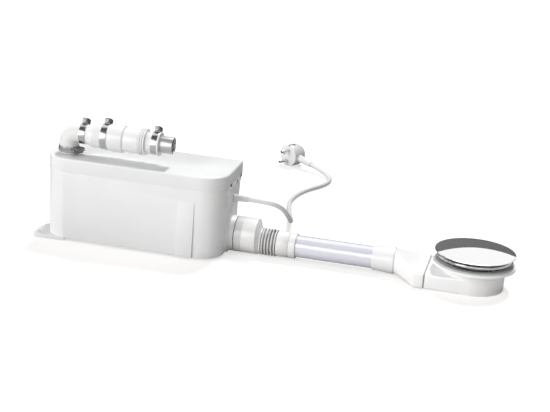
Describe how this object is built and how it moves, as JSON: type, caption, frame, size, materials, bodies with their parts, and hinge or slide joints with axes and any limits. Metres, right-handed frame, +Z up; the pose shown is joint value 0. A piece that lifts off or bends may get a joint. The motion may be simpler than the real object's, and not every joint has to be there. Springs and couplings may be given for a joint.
{
  "type": "shower sump pump",
  "caption": "compact shower waste pump: lidded tank with pump inside, clear inlet pipe to a low drain trap with chrome cover, clamped discharge line with check valve, mains cord",
  "frame": {"origin": "on the floor, under the middle of the tank, at the centre of the two floor screws", "axes": "+X towards the shower trap, +Y to the back of the tank, +Z up"},
  "size_m": [0.6994, 0.5812, 0.1839],
  "materials": {
    "white_plastic": "moulded white plastic, soft gloss",
    "grey_plastic": "pale grey moulded plastic",
    "white_rubber": "white rubber",
    "black_rubber": "black rubber",
    "grey_rubber": "dark grey rubber",
    "clear_pipe": "milky clear pipe with a lavender tint",
    "stainless": "brushed stainless steel",
    "zinc_steel": "plated steel",
    "chrome_plate": "mirror chrome plate",
    "nickel_brass": "nickel-plated brass",
    "black_plastic": "black moulded plastic",
    "aluminium_shell": "die-cast aluminium",
    "core_steel": "stacked core steel",
    "copper_wire": "enamelled copper wire, as a plain ring",
    "cord_sheath": "white flexible cord sheath"
  },
  "bodies": {
    "pump_unit": {"cable_gland": "grey_plastic", "capacitor": "aluminium_shell", "eccentric_reducer": "white_plastic", "flange_gasket": "grey_rubber", "gland_nut": "black_plastic", "inlet_flap_pin": "stainless", "inlet_seal": "grey_rubber", "inlet_valve_body": "white_plastic", "joint_seal": "grey_rubber", "lid": "white_plastic", "lid_clips": "black_plastic", "lid_screw": "black_plastic", "lid_seal": "black_rubber", "microswitch": "black_plastic", "motor_bracket": "grey_plastic", "motor_housing": "aluminium_shell", "pipe_collar": "white_plastic", "pipe_cuff": "white_plastic", "plug_body": "white_plastic", "plug_earth_clips": "nickel_brass", "plug_pins": "nickel_brass", "power_cord": "cord_sheath", "pressure_chamber": "grey_plastic", "pump_casing": "grey_plastic", "ribbed_sleeve": "white_rubber", "ring_screws": "stainless", "riser_pipe": "white_plastic", "rubber_feet": "grey_rubber", "shaft_bearings": "zinc_steel", "shaft_seal": "black_rubber", "stator_core": "core_steel", "stator_windings": "copper_wire", "strain_relief": "white_rubber", "suction_cover": "grey_plastic", "tank": "white_plastic", "trap_adapter": "white_plastic", "trap_body": "white_plastic", "trap_collar": "white_plastic", "waste_pipe": "clear_pipe", "waste_ring": "chrome_plate"},
    "pump_rotor": {"rotor_core": "core_steel", "motor_shaft": "zinc_steel", "impeller": "grey_plastic"},
    "discharge_line": {"discharge_elbow": "white_rubber", "clamp_bands": "stainless", "clamp_housings": "stainless", "clamp_screws": "zinc_steel", "valve_inlet": "white_plastic", "valve_sleeve": "white_rubber", "valve_body": "white_plastic", "valve_union": "white_plastic", "outlet_sleeve": "white_rubber", "discharge_pipe": "stainless", "check_flap_pin": "stainless"},
    "check_flap_body": {"check_flap": "black_rubber"},
    "inlet_flap_body": {"inlet_flap": "black_rubber"},
    "switch_plunger_body": {"switch_plunger": "black_plastic"},
    "drain_cover": {"cover_dome": "chrome_plate", "dip_cup": "grey_plastic", "cup_seal": "black_rubber"}
  },
  "joints": [
    {"name": "rotor_spin", "type": "hinge", "parent": "pump_unit", "child": "pump_rotor", "pos_m": [-0.03, -0.008, 0.06], "axis": [0, 0, 1], "continuous": true},
    {"name": "discharge_swivel", "type": "hinge", "parent": "pump_unit", "child": "discharge_line", "pos_m": [-0.1075, -0.025, 0.134], "axis": [0, 0, 1], "range_deg": [-90, 90]},
    {"name": "check_flap_hinge", "type": "hinge", "parent": "discharge_line", "child": "check_flap_body", "pos_m": [-0.0423, -0.025, 0.1695], "axis": [0, -1, 0], "range_deg": [0, 60]},
    {"name": "inlet_flap_hinge", "type": "hinge", "parent": "pump_unit", "child": "inlet_flap_body", "pos_m": [0.1198, 0.012, 0.0465], "axis": [0, 1, 0], "range_deg": [0, 60]},
    {"name": "switch_plunger_slide", "type": "slide", "parent": "pump_unit", "child": "switch_plunger_body", "axis": [0, 0, 1], "range_m": [0, 0.0015], "stiffness_N_per_m": 60},
    {"name": "cover_lift", "type": "slide", "parent": "pump_unit", "child": "drain_cover", "axis": [0, 0, 1], "range_m": [0, 0.08]}
  ]
}
